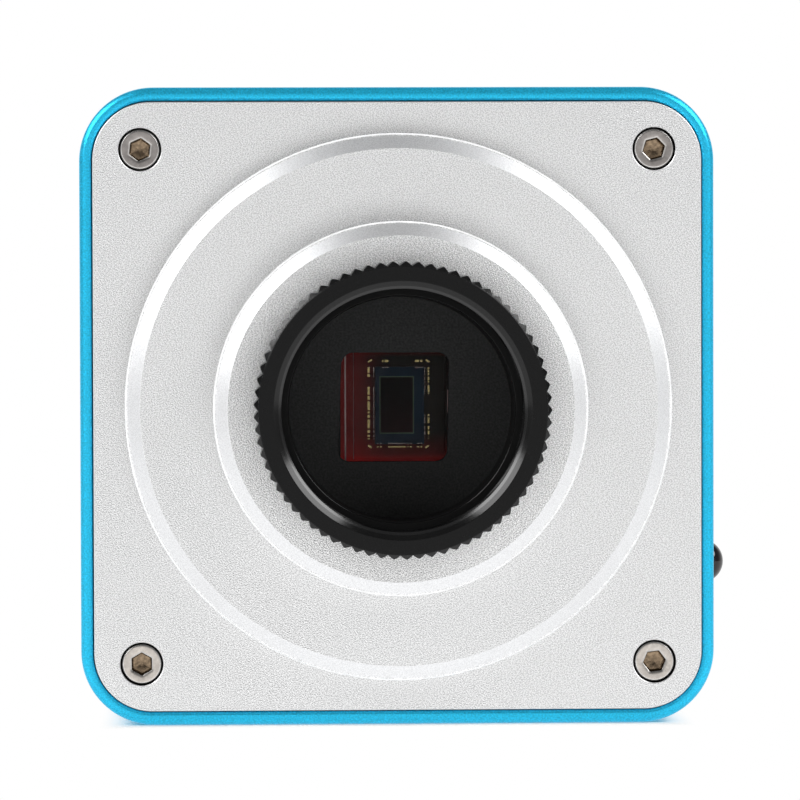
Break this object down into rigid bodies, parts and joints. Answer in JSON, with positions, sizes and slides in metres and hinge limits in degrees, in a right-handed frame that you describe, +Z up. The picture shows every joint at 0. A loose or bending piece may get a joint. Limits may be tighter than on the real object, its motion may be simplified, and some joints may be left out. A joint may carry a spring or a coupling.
{
  "type": "microscope camera",
  "caption": "Square microscope camera: blue extruded housing, stepped silver front plate, black knurled C-mount ring over a filtered image sensor, and keys and sockets in the rear plate.",
  "frame": {"origin": "centre of the lens ring's front face, where a lens is seated", "axes": "-Y along the optical axis, out of the lens opening; +X to the right for someone facing it; +Z up"},
  "size_m": [0.0692, 0.0588, 0.0666],
  "materials": {
    "anodised_blue": "satin anodised, blue",
    "blasted_silver": "bead-blasted, clear anodised, with polished chamfers",
    "black_anodised": "satin black anodised",
    "screw_steel": "plain steel",
    "mask_black": "textured matt black",
    "filter_red": "red-tinted, polished",
    "clear_glass": "clear, polished",
    "package_dark": "dark ceramic",
    "sensor_blue": "dark blue silicon",
    "gasket_black": "matt",
    "board_green": "solder mask",
    "chip_black": "moulded",
    "pillar_brass": "turned",
    "connector_white": "moulded",
    "ribbon_white": "film",
    "socket_steel": "plated",
    "plastic_black": "moulded",
    "dome_black": "polished, dark red when lit from behind",
    "light_clear": "clear moulded",
    "key_silver": "plated"
  },
  "bodies": {
    "camera": {"housing_shell": "anodised_blue", "front_plate": "blasted_silver", "rear_plate": "blasted_silver", "front_screws": "screw_steel", "rear_screws": "screw_steel", "filter_holder": "mask_black", "filter_glass": "filter_red", "dust_gasket": "gasket_black", "sensor_package": "package_dark", "sensor_die": "sensor_blue", "sensor_cover_glass": "clear_glass", "sensor_board": "board_green", "sensor_connector": "connector_white", "ribbon_cable": "ribbon_white", "board_connector": "connector_white", "main_board": "board_green", "board_pillars": "pillar_brass", "processor_chip": "chip_black", "memory_chip": "chip_black", "power_coil": "chip_black", "power_jack": "plastic_black", "power_pin": "socket_steel", "video_socket": "socket_steel", "video_tongue": "plastic_black", "usb_socket": "socket_steel", "usb_tongue": "plastic_black", "card_slot": "plastic_black", "status_led": "light_clear", "light_pipe": "light_clear", "ir_receiver": "dome_black", "key_switches": "plastic_black"},
    "lens_ring": {"mount_ring": "black_anodised"},
    "power_key": {"key_power": "key_silver", "plunger_power": "plastic_black"},
    "menu_key": {"key_menu": "key_silver", "plunger_menu": "plastic_black"},
    "down_key": {"key_down": "key_silver", "plunger_down": "plastic_black"},
    "up_key": {"key_up": "key_silver", "plunger_up": "plastic_black"},
    "snap_key": {"key_snap": "key_silver", "plunger_snap": "plastic_black"}
  },
  "joints": [
    {"name": "ring_turn", "type": "hinge", "parent": "camera", "child": "lens_ring", "pos_m": [0, 0, 0], "axis": [0, -1, 0], "range_deg": [0, 1800]},
    {"name": "power_press", "type": "slide", "parent": "camera", "child": "power_key", "axis": [0, -1, 0], "range_m": [0, 0.0003], "stiffness_N_per_m": 6000},
    {"name": "menu_press", "type": "slide", "parent": "camera", "child": "menu_key", "axis": [0, -1, 0], "range_m": [0, 0.0003], "stiffness_N_per_m": 6000},
    {"name": "down_press", "type": "slide", "parent": "camera", "child": "down_key", "axis": [0, -1, 0], "range_m": [0, 0.0003], "stiffness_N_per_m": 6000},
    {"name": "up_press", "type": "slide", "parent": "camera", "child": "up_key", "axis": [0, -1, 0], "range_m": [0, 0.0003], "stiffness_N_per_m": 6000},
    {"name": "snap_press", "type": "slide", "parent": "camera", "child": "snap_key", "axis": [0, -1, 0], "range_m": [0, 0.0003], "stiffness_N_per_m": 6000}
  ]
}
